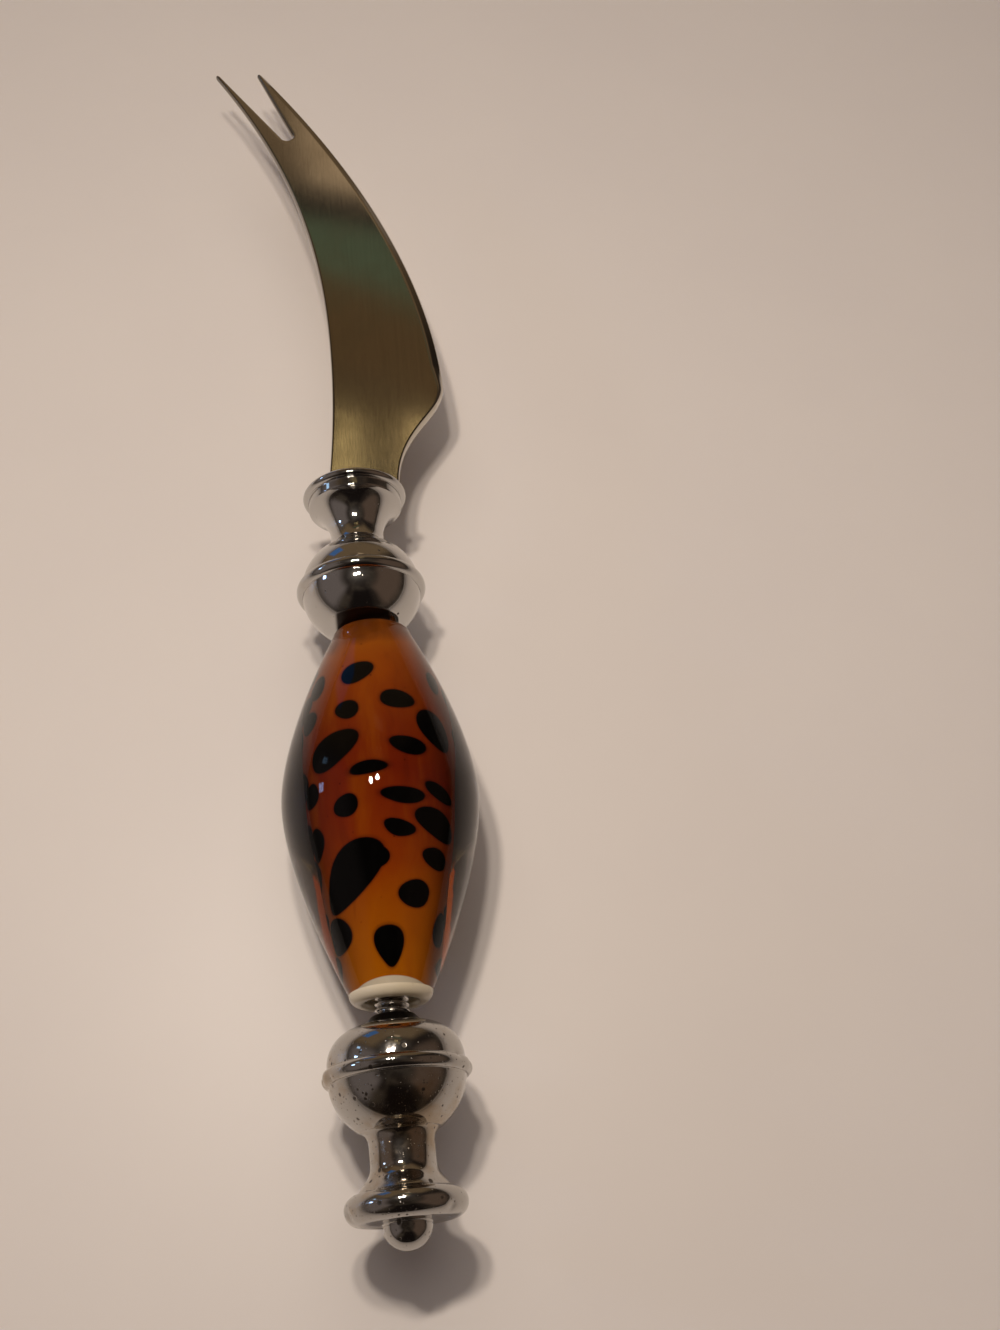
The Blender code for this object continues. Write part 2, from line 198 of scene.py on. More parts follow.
def blade_sheets():
    """Upper and lower sheets of the back and the front half of the blade, with their edge marks.

    Rows run from the tang to the tips, and columns across from the back edge to the gap and from
    the gap to the cutting edge. The height is half the thickness times the rounding of each edge
    that is near, so the sheets meet at the blade's middle plane all along the outline.
    """
    quarter = 1 - np.cos(np.linspace(0, np.pi / 2, 10))
    flat = np.linspace(0, 1, 26)[1:-1]
    near_crest = crest_low - prong_round * (1 - np.sin(np.linspace(0, np.pi / 2, 10)))
    in_crest = crest_d - crest_radius * np.cos(np.linspace(0, np.pi / 2, 18))[1:]
    prongs = np.linspace(crest_d, blade_length - tip_round, 64)[1:]
    tips = blade_length - tip_round * quarter[::-1]
    body = np.linspace(seat, crest_low - prong_round, 190)[:-1]
    tang = np.array((-tang_length, -tang_length, seat))
    d = np.concatenate((tang, body, near_crest, in_crest, prongs, tips[1:]))[:, None]
    in_tang = np.arange(len(d))[:, None] < len(tang)
    closing = np.where(np.arange(len(d))[:, None] < 1, 0.0, rounded(blade_length - d, tip_round))

    spine = np.where(in_tang, -tang_half, spine_at(d))
    edge = np.where(in_tang, tang_half, edge_at(d))
    back_tip = spine_at(blade_length) + prong_tip
    front_tip = edge_at(blade_length) - prong_tip
    back_gap, back_root, back_slope = gap_side(d, back_tip, -1)
    front_gap, front_root, front_slope = gap_side(d, front_tip, 1)
    back_gap = np.where(in_tang, 0, back_gap)
    front_gap = np.where(in_tang, 0, front_gap)
    beyond = (d - taper_start) / (blade_length - taper_start)
    taper = (beyond + np.sqrt(beyond**2 + taper_ease)) / 2
    half = half_thickness + (half_tip - half_thickness) * taper

    def narrowed(low, high):
        """Both sides of a prong drawn together as its tip closes."""
        middle = (low + high) / 2
        shrink = np.where(d > crest_d, closing, 1)
        return middle + (low - middle) * shrink, middle + (high - middle) * shrink

    def gap_distance(x, side_x, root, slope):
        """Distance from the fork's gap: from its round crest, then square to its straight side."""
        from_crest = np.hypot(x - crest_x, d - crest_d) - crest_radius
        return np.where(d < root, from_crest, np.abs(x - side_x) * slope)

    spine, back_gap = narrowed(spine, back_gap)
    front_gap, edge = narrowed(front_gap, edge)

    def across(low, high, near, far):
        """Places across a half, close together in the roundings at its sides, and those roundings."""
        width = np.maximum(high - low, least_width)
        near = np.minimum(near, most_rounded * width)
        far = np.minimum(far, most_rounded * width)
        middle = low + near + (width - near - far) * flat
        places = np.concatenate((low + near * quarter, middle, high - far * quarter[::-1]), axis=1)
        return places, near, far

    back_x, near, far = across(spine, back_gap, spine_round, prong_round)
    back_gap_way = gap_distance(back_x, back_gap, back_root, back_slope)
    back_share = rounded(back_x - spine, near) * np.where(in_tang, 1, rounded(back_gap_way, far))

    ground = np.clip((d - heel) / grind_run_in + 0.5, 0, 1)
    bevel = spine_round + (grind_width - spine_round) * ground
    front_x, near, bevel = across(front_gap, edge, prong_round, bevel)
    front_gap_way = gap_distance(front_x, front_gap, front_root, front_slope)
    inward = edge - front_x
    land = edge_half / half
    facet = (land + (1 - land) * np.clip(inward / bevel, 0, 1)) * rounded(inward, edge_round)
    edge_share = rounded(inward, bevel) * (1 - ground) + facet * ground
    front_share = edge_share * np.where(in_tang, 1, rounded(front_gap_way, near))

    by_fork = d > crest_low - near_crest_reach
    from_back_gap = np.where(by_fork, np.abs(back_gap_way), far_off)
    from_front_gap = np.where(by_fork, np.abs(front_gap_way), far_off)
    on_bevel = ground * np.clip((bevel - inward) / bevel_blur + 0.5, 0, 1)
    none = np.zeros(back_x.shape)
    sheets = []
    marks = {"edge_way": [], "heel_way": [], "grind": []}
    for x, share, edge_way, heel_way, grind in (
        (back_x, back_share, np.minimum(back_x - spine, from_back_gap), none + far_off, none),
        (front_x, front_share, from_front_gap, inward + far_off * ground, on_bevel),
    ):
        y = np.broadcast_to(shoulders + d, x.shape)
        z = half * share * closing
        for side in (1, -1):
            sheets.append(np.stack((x, y, side * z), axis=-1))
            for key, values in zip(marks, (edge_way, heel_way, grind)):
                marks[key].append(values.ravel())
    return sheets, {key: np.concatenate(values) for key, values in marks.items()}


def plug(tree, node, inputs):
    """Inputs of a node set to values, or linked where a socket is given."""
    for key, value in inputs.items():
        if isinstance(value, bpy.types.NodeSocket):
            tree.links.new(value, node.inputs[key])
        else:
            node.inputs[key].default_value = value


def add(tree, kind, inputs=None, **options):
    """A new node with its options and inputs set."""
    made = tree.nodes.new(kind)
    for option, value in options.items():
        setattr(made, option, value)
    plug(tree, made, inputs or {})
    return made


def math_of(tree, operation, *values):
    """The result of a Math node on sockets or numbers."""
    return add(tree, "ShaderNodeMath", dict(enumerate(values)), operation=operation).outputs[0]


def times(tree, first, second):
    """The product of two values."""
    return math_of(tree, "MULTIPLY", first, second)


def vector_of(tree, operation, first, second):
    """The result of a Vector Math node on two vectors."""
    return add(tree, "ShaderNodeVectorMath", {0: first, 1: second}, operation=operation).outputs[0]


def marked(tree, name):
    """A value that the mesh carries at each of its points."""
    return add(tree, "ShaderNodeAttribute", attribute_name=name).outputs["Fac"]


def span(tree, value, low, high, start=0.0, end=1.0):
    """A value brought from low..high to start..end along a smooth step."""
    inputs = {"Value": value, "From Min": low, "From Max": high, "To Min": start, "To Max": end}
    return add(tree, "ShaderNodeMapRange", inputs, interpolation_type="SMOOTHSTEP").outputs[0]


def mixed(tree, share, first, second):
    """A colour between two colours."""
    made = add(tree, "ShaderNodeMix", {"Factor": share}, data_type="RGBA")
    for number, colour in ((6, first), (7, second)):
        plug(tree, made, {number: (*colour, 1) if isinstance(colour, tuple) else colour})
    return made.outputs[2]


def effect(name, inputs, output):
    """A new shader group with a Vector and named number inputs, and one number output."""
    group = bpy.data.node_groups.new(name, "ShaderNodeTree")
    group.interface.new_socket(name="Vector", in_out="INPUT", socket_type="NodeSocketVector")
    for key in inputs:
        group.interface.new_socket(name=key, in_out="INPUT", socket_type="NodeSocketFloat")
    group.interface.new_socket(name=output, in_out="OUTPUT", socket_type="NodeSocketFloat")
    return group, group.nodes.new("NodeGroupInput").outputs, group.nodes.new("NodeGroupOutput").inputs


def use(tree, group, vector, **values):
    """An effect's output, placed in a material with its own values."""
    made = tree.nodes.new("ShaderNodeGroup")
    made.node_tree = group
    plug(tree, made, {"Vector": vector, **values})
    return made.outputs[0]


def new_material(name):
    """A new material with its node tree, its Principled shader and the piece's own coordinates."""
    material = bpy.data.materials.new(name)
    material.use_nodes = True
    tree = material.node_tree
    coordinates = tree.nodes.new("ShaderNodeTexCoord").outputs["Object"]
    return material, tree, tree.nodes["Principled BSDF"], coordinates


def bumped(tree, height, distance):
    """A normal from a height that is given as a share of a distance in metres."""
    return add(tree, "ShaderNodeBump", {"Height": height, "Distance": distance}).outputs[0]


# Lines left by a brush or a lathe: noise drawn out along one direction
drawn_lines, given, result = effect("drawn_lines", ("Across", "Along"), "Height")
stretch = {0: given["Across"], 1: given["Along"], 2: given["Across"]}
stretch = add(drawn_lines, "ShaderNodeCombineXYZ", stretch).outputs[0]
stretched = vector_of(drawn_lines, "MULTIPLY", given["Vector"], stretch)
noise = add(drawn_lines, "ShaderNodeTexNoise", {"Vector": stretched, "Scale": 1.0, "Detail": 3.0})
drawn_lines.links.new(noise.outputs["Fac"], result["Height"])

# Cloudy patches left by hands, wiping and age
cloudy, given, result = effect("cloudy", ("Scale", "Low", "High"), "Mask")
noise = add(
    cloudy,
    "ShaderNodeTexNoise",
    {"Vector": given["Vector"], "Scale": given["Scale"], "Detail": 5.0, "Roughness": 0.6},
)
cloudy.links.new(span(cloudy, noise.outputs["Fac"], given["Low"], given["High"]), result["Mask"])

blade_steel, tree, shader, coordinates = new_material("blade_steel")
smear = use(tree, cloudy, coordinates, Scale=90.0, Low=0.4, High=0.7)
brushed = use(tree, drawn_lines, coordinates, Across=7000.0, Along=90.0)
fine = use(tree, drawn_lines, coordinates, Across=26000.0, Along=420.0)
grind, edge_way, heel_way = (marked(tree, name) for name in ("grind", "edge_way", "heel_way"))
clean_steel = (0.66, 0.62, 0.55)
smeared_steel = (0.60, 0.555, 0.48)
brushed_steel = (0.50, 0.46, 0.40)
bevel_painted_dark = (0.42, 0.385, 0.33)
painted_edge_shade = (0.22, 0.195, 0.16)
painted_heel_highlight = (0.54, 0.50, 0.42)
steel = mixed(tree, smear, clean_steel, smeared_steel)
steel = mixed(tree, span(tree, brushed, 0.35, 0.75, 0, 0.35), steel, brushed_steel)
# Painted reflection: the ground bevel is darker, for the dark room that it mirrors
steel = mixed(tree, times(tree, grind, 0.8), steel, bevel_painted_dark)
# Painted shade along the back edge and the fork's gap, within 0.4 mm of them
steel = mixed(tree, span(tree, edge_way, 0.4, 0.1), steel, painted_edge_shade)
# Painted highlight along the front edge up to the heel, where it is not ground
steel = mixed(tree, span(tree, heel_way, 0.35, 0.05), steel, painted_heel_highlight)
roughness = span(tree, fine, 0.3, 0.7, 0.05, 0.085)
roughness = math_of(tree, "ADD", roughness, times(tree, smear, 0.03))
grain = math_of(tree, "ADD", times(tree, brushed, 0.5), times(tree, fine, 0.5))
normal = bumped(tree, grain, 0.0000015)
plug(tree, shader, {"Base Color": steel, "Roughness": roughness, "Metallic": 1.0, "Normal": normal})

sheets, edge_marks = blade_sheets()
forked_blade = skin("forked_blade", sheets, blade_steel, around=False, attributes=edge_marks)
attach(forked_blade, "handle")
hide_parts("blade")


# Ferrule
# Zinc alloy casting with bright plating: a conical nose, a ball with a ring round it, a waisted
# neck and a lipped cup. The blade's tang is fixed in a slot in the cup's face, and the nose holds
# the rod's front end.
socket_radius = 2.15
nose_length = 1.1
ball_radius = 7.85
ball_half_length = 7.4
ball_cut = 5.45
ball_end_radius = 4.5
ring_radius = 8.5
ring_half_width = 0.85
least_radius = 2
ball_centre = nose_length + ball_cut
ball_end = ball_centre + ball_half_length * math.sqrt(1 - (ball_end_radius / ball_radius) ** 2)


def arc(centre, half_axes, first, last, steps=16):
    """(radius, place) points along an ellipse between two angles in degrees from its radius axis."""
    angle = np.radians(np.linspace(first, last, steps))
    radius = centre[0] + half_axes[0] * np.cos(angle)
    return np.stack((radius, centre[1] + half_axes[1] * np.sin(angle)), 1)


def softened(outline, radius, points=4):
    """An outline with each corner replaced by a parabola, which starts and ends a radius from it.

    Where the sides are short the parabola takes up a little less than half of each, so that curves
    stay as they are.
    """
    most = 0.45
    corner = outline[1:-1]
    before = outline[:-2] - corner
    after = outline[2:] - corner
    lengths = (np.maximum(np.hypot(*side.T), 1e-9) for side in (before, after))
    reach_before, reach_after = (np.minimum(radius / length, most)[:, None] for length in lengths)
    t = np.linspace(0, 1, points)[:, None, None]
    blend = corner + (1 - t) ** 2 * before * reach_before + t**2 * after * reach_after
    inner = np.swapaxes(blend, 0, 1).reshape(-1, 2)
    return np.concatenate((outline[:1], inner, outline[-1:]))


def around_rod(radius, turn, y):
    """Points at a radius from the rod's axis, a turn from the top and a place along it."""
    return np.stack(np.broadcast_arrays(radius * np.sin(turn), y, radius * np.cos(turn)), axis=-1)


def turned(outline, steps=168):
    """An outline of (radius, y) points carried round the rod's axis, one ring of points for each."""
    turn = np.linspace(0, 2 * np.pi, steps, endpoint=False)
    return around_rod(outline[:, :1], turn, outline[:, 1:])


def turn_and_radius(grid):
    """How far round from the top each point lies, and how far from the rod's axis."""
    return np.arctan2(grid[..., 0], grid[..., 2]), np.hypot(grid[..., 0], grid[..., 2])


def swollen(grid, factor):
    """Rings with each point's distance from the rod's axis times a factor."""
    return grid * np.stack((factor, np.ones(factor.shape), factor), axis=-1)


def casting_front(socket_depth, nose, rear_length, fullness, neck_radius, neck_fillet):
    """(radius, distance from the nose) of the stretch that both castings begin with.

    From the socket's bottom over the nose to the ball, whose rear is an ellipse with a power of its
    own in place of 2 and whose front is a plain one, over the half round of its ring, and through a
    hollow quarter ellipse into the neck.
    """
    rear = np.linspace(ball_cut, ring_half_width, 28)
    rear_radius = ball_radius * (1 - (rear / rear_length) ** fullness) ** (1 / fullness)
    ring = math.degrees(math.asin(ring_half_width / ball_half_length))
    end = math.degrees(math.acos(ball_end_radius / ball_radius))
    ring_seat = ball_radius * math.cos(math.radians(ring))
    ball = (ball_radius, ball_half_length)
    hollow = (ball_end_radius - neck_radius, neck_fillet)
    stretches = (
        [(0, socket_depth), (socket_radius, socket_depth), (socket_radius, 0)],
        nose,
        np.stack((rear_radius, ball_centre - rear), 1),
        arc((ring_seat, ball_centre), (ring_radius - ring_seat, ring_half_width), -90, 90)[1:-1],
        arc((0, ball_centre), ball, ring, end, 18),
        arc((ball_end_radius, ball_end + neck_fillet), hollow, -90, -180)[1:],
    )
    return np.concatenate(stretches)


def cast_skin(grid, amount, waves):
    """Rings moved in and out by a few slow waves, as polishing by hand leaves them.

    A wave is the sine of a number of turns round, a rate along the rod and a phase.
    """
    turn, radius = turn_and_radius(grid)
    swell = sum(np.sin(k * turn + rate * grid[..., 1] + phase) for k, rate, phase in waves) / len(waves)
    return swollen(grid, 1 + amount * swell / np.maximum(radius, least_radius))


ferrule_nose = [(3.2, 0)]
neck_radius = 3.55
neck_fillet = 2.5
neck_length = 2.3
cup_length = 5.8
cup_radius = 6.3
lip_proud = 0.7
lip_half = 0.6
face_share = 0.9
ferrule_socket = 9.0
slot_play = 0.05
slot_half = (tang_half + slot_play, half_thickness + slot_play)
casting_corner = 0.22
ferrule_uneven = 0.02
ferrule_waves = ((2, 0.31, 0.4), (3, -0.47, 1.9), (5, 0.8, 4.0))

neck_end = ball_end + neck_length
cup_edge = neck_end + cup_length
bowl_start = (neck_radius, neck_end + 0.3)
bowl_low = (neck_radius + 0.05, neck_end + 2.0)
bowl_high = (cup_radius - 1.45, neck_end + 4.0)
bowl_end = (cup_radius, neck_end + 4.55)
ferrule_outline = np.concatenate(
    (
        casting_front(ferrule_socket, ferrule_nose, ball_half_length, 2, neck_radius, neck_fillet),
        bezier(bowl_start, bowl_low, bowl_high, bowl_end, 24),
        arc((cup_radius, cup_edge + lip_half), (lip_proud, lip_half), -90, 90),
        [(cup_radius * face_share, cup_edge + 2 * lip_half)],
    )
)
ferrule_outline = softened(ferrule_outline, casting_corner) + np.array((0, ferrule_low[1]))
ferrule_rings = cast_skin(turned(ferrule_outline), ferrule_uneven, ferrule_waves)


def slot_ring(y):
    """A ring of points on the tang slot's rectangle, each straight in from a point of the round face."""
    turn = np.linspace(0, 2 * np.pi, ferrule_rings.shape[1], endpoint=False)
    reach = 1 / np.maximum(np.abs(np.sin(turn)) / slot_half[0], np.abs(np.cos(turn)) / slot_half[1])
    return around_rod(reach, turn, y)


slot_bottom = blade_low[1] - slot_play
slot_rings = [slot_ring(ferrule_high[1]), slot_ring(slot_bottom), slot_ring(slot_bottom) * (0, 1, 0)]
ferrule_grid = np.concatenate((ferrule_rings, np.stack(slot_rings)))

# Small round pits where the plating has failed: the middles of some of a cell pattern's cells
pitted, given, result = effect("pitted", ("Scale", "Share", "Size"), "Mask")
cells = add(pitted, "ShaderNodeTexVoronoi", {"Vector": given["Vector"], "Scale": given["Scale"]})
random = add(pitted, "ShaderNodeSeparateColor", {0: cells.outputs["Color"]}).outputs
chosen = math_of(pitted, "LESS_THAN", random[0], given["Share"])
size = times(pitted, given["Size"], math_of(pitted, "ADD", random[1], 0.4))
inner = times(pitted, size, 0.55)
spot = span(pitted, cells.outputs["Distance"], size, inner)
pitted.links.new(times(pitted, spot, chosen), result["Mask"])


pit_and_groove_brown = (0.10, 0.085, 0.07)
# Painted shade for the castings' noses, which mirror the dark gap at the bead's ends
nose_shade_black = (0.03, 0.024, 0.02)
mirror_roughness = 0.045


def apart(tree, first, second):
    """How far two values lie from each other."""
    return math_of(tree, "ABSOLUTE", math_of(tree, "SUBTRACT", first, second))


def bright_plating(name, colour, tarnish, pit_share, haze, tarnish_low, nose, nose_shade_half):
    """Bright plating on a casting: near mirror, with pits, a hazy bloom and brown tarnish in patches.

    Painted shade blackens the nose at a place along the rod, as far to each side of the rod as is given.
    """
    material, tree, shader, coordinates = new_material(name)
    pits = use(tree, pitted, coordinates, Scale=1100.0, Share=pit_share, Size=0.28)
    specks = use(tree, pitted, coordinates, Scale=3200.0, Share=pit_share * 0.8, Size=0.3)
    bloom = use(tree, cloudy, coordinates, Scale=260.0, Low=0.42, High=0.72)
    stain = use(tree, cloudy, coordinates, Scale=120.0, Low=tarnish_low, High=tarnish_low + 0.2)
    damage = math_of(tree, "MAXIMUM", pits, times(tree, specks, 0.7))
    plated = mixed(tree, stain, colour, tarnish)
    plated = mixed(tree, damage, plated, pit_and_groove_brown)
    aside, place, _ = add(tree, "ShaderNodeSeparateXYZ", {0: coordinates}).outputs
    from_nose = apart(tree, place, float(rod_axis[1]) + nose * MM)
    from_rod = apart(tree, aside, float(rod_axis[0]))
    near_nose = span(tree, from_nose, (nose_length + 0.2) * MM, (nose_length - 0.05) * MM)
    near_rod = span(tree, from_rod, (nose_shade_half + 0.3) * MM, (nose_shade_half - 0.3) * MM)
    # Painted shade: the nose is blackened where it mirrors the dark gap at the bead's end
    nose_shade = times(tree, near_nose, near_rod)
    plated = mixed(tree, nose_shade, plated, nose_shade_black)
    rough = span(tree, bloom, 0, 1, mirror_roughness, mirror_roughness + haze)
    rough = math_of(tree, "ADD", rough, times(tree, damage, 0.35))
    rough = math_of(tree, "ADD", rough, times(tree, nose_shade, 0.3))
    waves = add(tree, "ShaderNodeTexNoise", {"Vector": coordinates, "Scale": 330.0, "Detail": 2.0})
    relief = math_of(tree, "SUBTRACT", waves.outputs["Fac"], times(tree, damage, 2.0))
    normal = bumped(tree, relief, 0.00001)
    plug(tree, shader, {"Base Color": plated, "Roughness": rough, "Metallic": 1.0, "Normal": normal})
    plug(tree, shader, {"Coat Weight": 0.3, "Coat Roughness": 0.35})
    return material


ferrule_plating = bright_plating(
    "ferrule_plating",
    (0.53, 0.52, 0.50),
    (0.46, 0.41, 0.35),
    pit_share=0.03, haze=0.04, tarnish_low=0.58,
    nose=ferrule_low[1],
    nose_shade_half=3.5,
)
plated_ferrule = skin("plated_ferrule", [ferrule_grid], ferrule_plating)
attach(plated_ferrule, "handle")
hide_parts("front_ferrule")


# Rod
# Steel rod of 4 mm with a rolled thread from end to end. It is screwed fast into the ferrule, the
# bead is slipped over it, and the finial screws onto what stands out behind the bead.
rod_low, rod_high = box_mm("rod")
rod_radius = 2.0
thread_pitch = 0.7
thread_depth = 0.38
groove_steepness = 1.35
crest_flat = 0.2
point_length = 0.5
point_depth = 0.5
rod_sides = 40
steps_in_pitch = 10


def threaded(rear, front):
    """A rod's rings with a rolled thread, and how deep each point lies in it.

    The radius falls by the thread's depth times a rounded triangle wave of (y / pitch + turn / 360),
    and runs down in a cone over the last stretch at either end.
    """
    y = np.linspace(rear, front, int((front - rear) / thread_pitch * steps_in_pitch))[:, None]
    turn = np.linspace(0, 2 * np.pi, rod_sides, endpoint=False)
    phase = (y / thread_pitch + turn / (2 * np.pi)) % 1
    triangle = np.abs(2 * phase - 1)
    groove = np.clip(triangle * groove_steepness - crest_flat, 0, 1)
    point = np.clip((point_length - np.minimum(y - rear, front - y)) / point_length, 0, 1)
    radius = np.minimum(rod_radius - thread_depth * groove, rod_radius - point * point_depth)
    rings = around_rod(radius, turn, y)
    ends = [rings[:1] * (0, 1, 0), rings, rings[-1:] * (0, 1, 0)]
    return np.concatenate(ends), np.concatenate((groove[:1], groove, groove[-1:]))


rod_steel, tree, shader, coordinates = new_material("rod_steel")
groove = marked(tree, "groove")
rolled = use(tree, drawn_lines, coordinates, Across=400.0, Along=9000.0)
# Darker brown deep in the thread's grooves
groove_darkening = times(tree, span(tree, groove, 0.35, 1.0), 0.85)
steel = mixed(tree, groove_darkening, (0.62, 0.60, 0.57), pit_and_groove_brown)
roughness = span(tree, rolled, 0.3, 0.7, 0.16, 0.3)
normal = bumped(tree, rolled, 0.000004)
plug(tree, shader, {"Base Color": steel, "Roughness": roughness, "Metallic": 1.0, "Normal": normal})

rod_rings, groove_depth = threaded(rod_low[1], rod_high[1])
groove_marks = {"groove": groove_depth}
threaded_rod = skin("threaded_rod", [rod_rings], rod_steel, attributes=groove_marks)
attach(threaded_rod, "handle")
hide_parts("rod")


# Bead, white core
# Opaque white glass tube that the other glasses are wound on. Its rear end swells into the cap that
# shows behind them, and its hole is wider than the rod, so that the bead sits a little askew on it.
core_low, core_high = box_mm("bead_core")
casing_low = box_mm("bead_casing")[0]
bead_front = core_high[1]
bead_rear = core_low[1]
belly_place = 0.9
belly_softness = 3.0
end_power = 1.5
floor_gap = 0.01
belly_radius = rod_axis[2] / MM - floor_gap
front_radius = 4.9
rear_radius = 4.3
bore_radius = 3.0
core_radius = 3.6
cap_edge = casing_low[1] - 0.9
cap_rounding = 1.2
mouth_rounding = 0.55
mouth_end = 0.9
front_chamfer = (0.3, 0.45)
core_corner = 0.15
bead_lean = 0.0195


def outer_radius(y):
    """The bead's outside: full at the belly, falling to each end by a power of the way.

    The way is the root of the sum of its square and a small length's, which rounds off the belly.
    """
    reach = np.where(y > belly_place, bead_front - belly_place, belly_place - bead_rear)
    end = np.where(y > belly_place, front_radius, rear_radius)
    start = belly_softness**end_power
    way = ((y - belly_place) ** 2 + belly_softness**2) ** (end_power / 2) - start
    whole = (reach**2 + belly_softness**2) ** (end_power / 2) - start
    return belly_radius - (belly_radius - end) * way / whole


def askew(grid):
    """The bead as it sits: turned a little about its rear end, so that its front leans towards +x."""
    moved = grid.copy()
    moved[..., 0] += bead_lean * (grid[..., 1] - bead_rear)
    moved[..., 1] -= bead_lean * grid[..., 0]
    return moved


def wall(*stretches):
    """Stretches of (radius, y) points joined into the closed outline of a tube's wall."""
    outline = np.concatenate(stretches)
    return np.concatenate((outline, outline[:1]))


shoulder = bead_rear + cap_rounding
inset = float(outer_radius(shoulder)) - cap_rounding
cap_places = np.linspace(shoulder, cap_edge, 8)
mouth = (bore_radius + mouth_rounding, bead_rear + mouth_rounding)
core_outline = wall(
    [(bore_radius + front_chamfer[0], bead_front), (bore_radius, bead_front - front_chamfer[1])],
    [(bore_radius, bead_rear + mouth_end)],
    arc(mouth, (mouth_rounding, mouth_rounding), 180, 270, 8),
    arc((inset, shoulder), (cap_rounding, cap_rounding), -90, 0, 12),
    np.stack((outer_radius(cap_places), cap_places), 1)[1:],
    [(core_radius, cap_edge), (core_radius, bead_front)],
)

# Bands and threads that winding hot glass round a rod leaves: noise wrapped round and drawn along
wound, given, result = effect("wound", ("Around", "Along", "Bend"), "Mask")
swirl = add(wound, "ShaderNodeTexNoise", {"Vector": given["Vector"], "Scale": 110.0, "Detail": 2.0})
pushed = vector_of(wound, "SUBTRACT", swirl.outputs["Color"], (0.5, 0.5, 0.5))
pushed = vector_of(wound, "MULTIPLY", pushed, given["Bend"])
moved = vector_of(wound, "ADD", given["Vector"], pushed)
stretch = {0: given["Around"], 1: given["Along"], 2: given["Around"]}
drawn = vector_of(wound, "MULTIPLY", moved, add(wound, "ShaderNodeCombineXYZ", stretch).outputs[0])
noise = add(wound, "ShaderNodeTexNoise", {"Vector": drawn, "Scale": 1.0, "Detail": 4.0})
wound.links.new(noise.outputs["Fac"], result["Mask"])

white_glass, tree, shader, coordinates = new_material("white_glass")
bands = use(tree, wound, coordinates, Around=150.0, Along=500.0, Bend=0.003)
dusty = use(tree, cloudy, coordinates, Scale=420.0, Low=0.5, High=0.75)
milk_white = (0.86, 0.77, 0.60)
milk_band = (0.77, 0.68, 0.50)
milk_dust = (0.60, 0.50, 0.35)
milk = mixed(tree, span(tree, bands, 0.35, 0.65), milk_white, milk_band)
milk = mixed(tree, span(tree, dusty, 0, 1, 0, 0.5), milk, milk_dust)
roughness = span(tree, dusty, 0, 1, 0.1, 0.28)
plug(tree, shader, {"Base Color": milk, "Roughness": roughness, "Normal": bumped(tree, bands, 0.00003)})
plug(tree, shader, {"Subsurface Weight": 0.15, "Subsurface Radius": (0.0012, 0.001, 0.0008)})

core_rings = askew(turned(softened(core_outline, core_corner)))
white_core = skin("white_core", [core_rings], white_glass)
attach(white_core, "bead")
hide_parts("bead_core")


# Bead, amber layer
# Amber glass wound over the core, thick and red-brown in the middle and thin and golden at the ends,
# with drops of black glass melted into its surface and drawn out into spots.
amber_belly = 6.0
amber_place = 3.0
amber_softness = 6.0
amber_front = 4.3
amber_rear = 3.7
amber_rear_end = cap_edge - 0.03
amber_rows = 250
amber_columns = 320
white_reach = 1.2
outside_all = -9.0


def amber_radius(y):
    """The amber layer's radius: full a little before the middle, then nearly straight down to each end.

    The way is the root of the sum of its square and a length's, less that length, which rounds off
    the fullest place.
    """
    front_way, rear_way, way = (
        np.hypot(place - amber_place, amber_softness) - amber_softness
        for place in (bead_front, amber_rear_end, y)
    )
    front_fall = (amber_belly - amber_front) / front_way
    rear_fall = (amber_belly - amber_rear) / rear_way
    return amber_belly - np.where(y > amber_place, front_fall, rear_fall) * way


# Spots in sight: turn from the top in degrees, place along the bead, half width, half length, tilt
# in degrees and how much wider the spot is at its front
spots = [
    (-20, 15.1, 1.45, 1.9, 42, 0.0),
    (23, 10.8, 1.95, 1.25, 6, 0.0),
    (-30, 9.8, 1.3, 1.3, 0, 0.0),
    (-46, 5.0, 3.0, 1.95, -25, 0.1),
    (30, 4.7, 2.05, 1.05, 14, 0.0),
    (-10, 2.2, 2.05, 0.72, -6, 0.0),
    (23, -1.0, 2.2, 1.0, 0, 0.1),
    (-35, -1.6, 1.3, 1.4, 30, 0.0),
    (66, 0.0, 2.4, 0.85, 14, 0.0),
    (64, -3.7, 3.1, 1.6, 12, 0.1),
    (18, -4.8, 1.55, 1.05, 12, 0.2),
    (64, -7.7, 1.8, 1.3, 10, 0.1),
    (-84, -4.5, 1.5, 1.8, 20, 0.1),
    (-40, -9.4, 2.6, 4.7, 48, 0.05),
    (-12, -8.0, 1.6, 1.6, 0, 0.0),
    (36, -12.2, 1.75, 1.6, 0, 0.0),
    (-78, -15.7, 2.3, 2.0, 16, 0.1),
    (2, -18.2, 1.4, 2.5, 0, 0.3),
    (87, -15.5, 1.3, 2.1, 0, 0.0),
    (63, 7.2, 1.9, 2.7, -38, 0.0),
    (-77, 14.4, 1.3, 1.7, 20, 0.0),
    (-86, 9.7, 1.5, 1.6, 0, 0.0),
    (-81, 1.0, 1.5, 1.3, 0, 0.0),
    (82, 14.5, 1.1, 1.6, 0, 0.0),
]

# Out of sight they go on at the same spread: a slot in each row and column, moved about in it
scatter = np.random.default_rng(17)
for row in np.arange(-18.5, 18, 5.2):
    for column in np.arange(124, 250, 31):
        half_width, half_length = scatter.uniform((1.1, 1.0), (2.6, 2.3))
        turn = column + scatter.uniform(-9, 9)
        place = row + scatter.uniform(-1.3, 1.3)
        tilt = scatter.uniform(-45, 45)
        spots.append((turn, place, half_width, half_length, tilt, 0.1))
specks = [
    (scatter.uniform(-180, 180), scatter.uniform(-20, 20), size, size, 0, 0.0)
    for size in scatter.uniform(0.05, 0.13, 150)
]


def turn_from(turn, degrees):
    """The shortest turn from a direction in degrees."""
    return (turn - math.radians(degrees) + np.pi) % (2 * np.pi) - np.pi


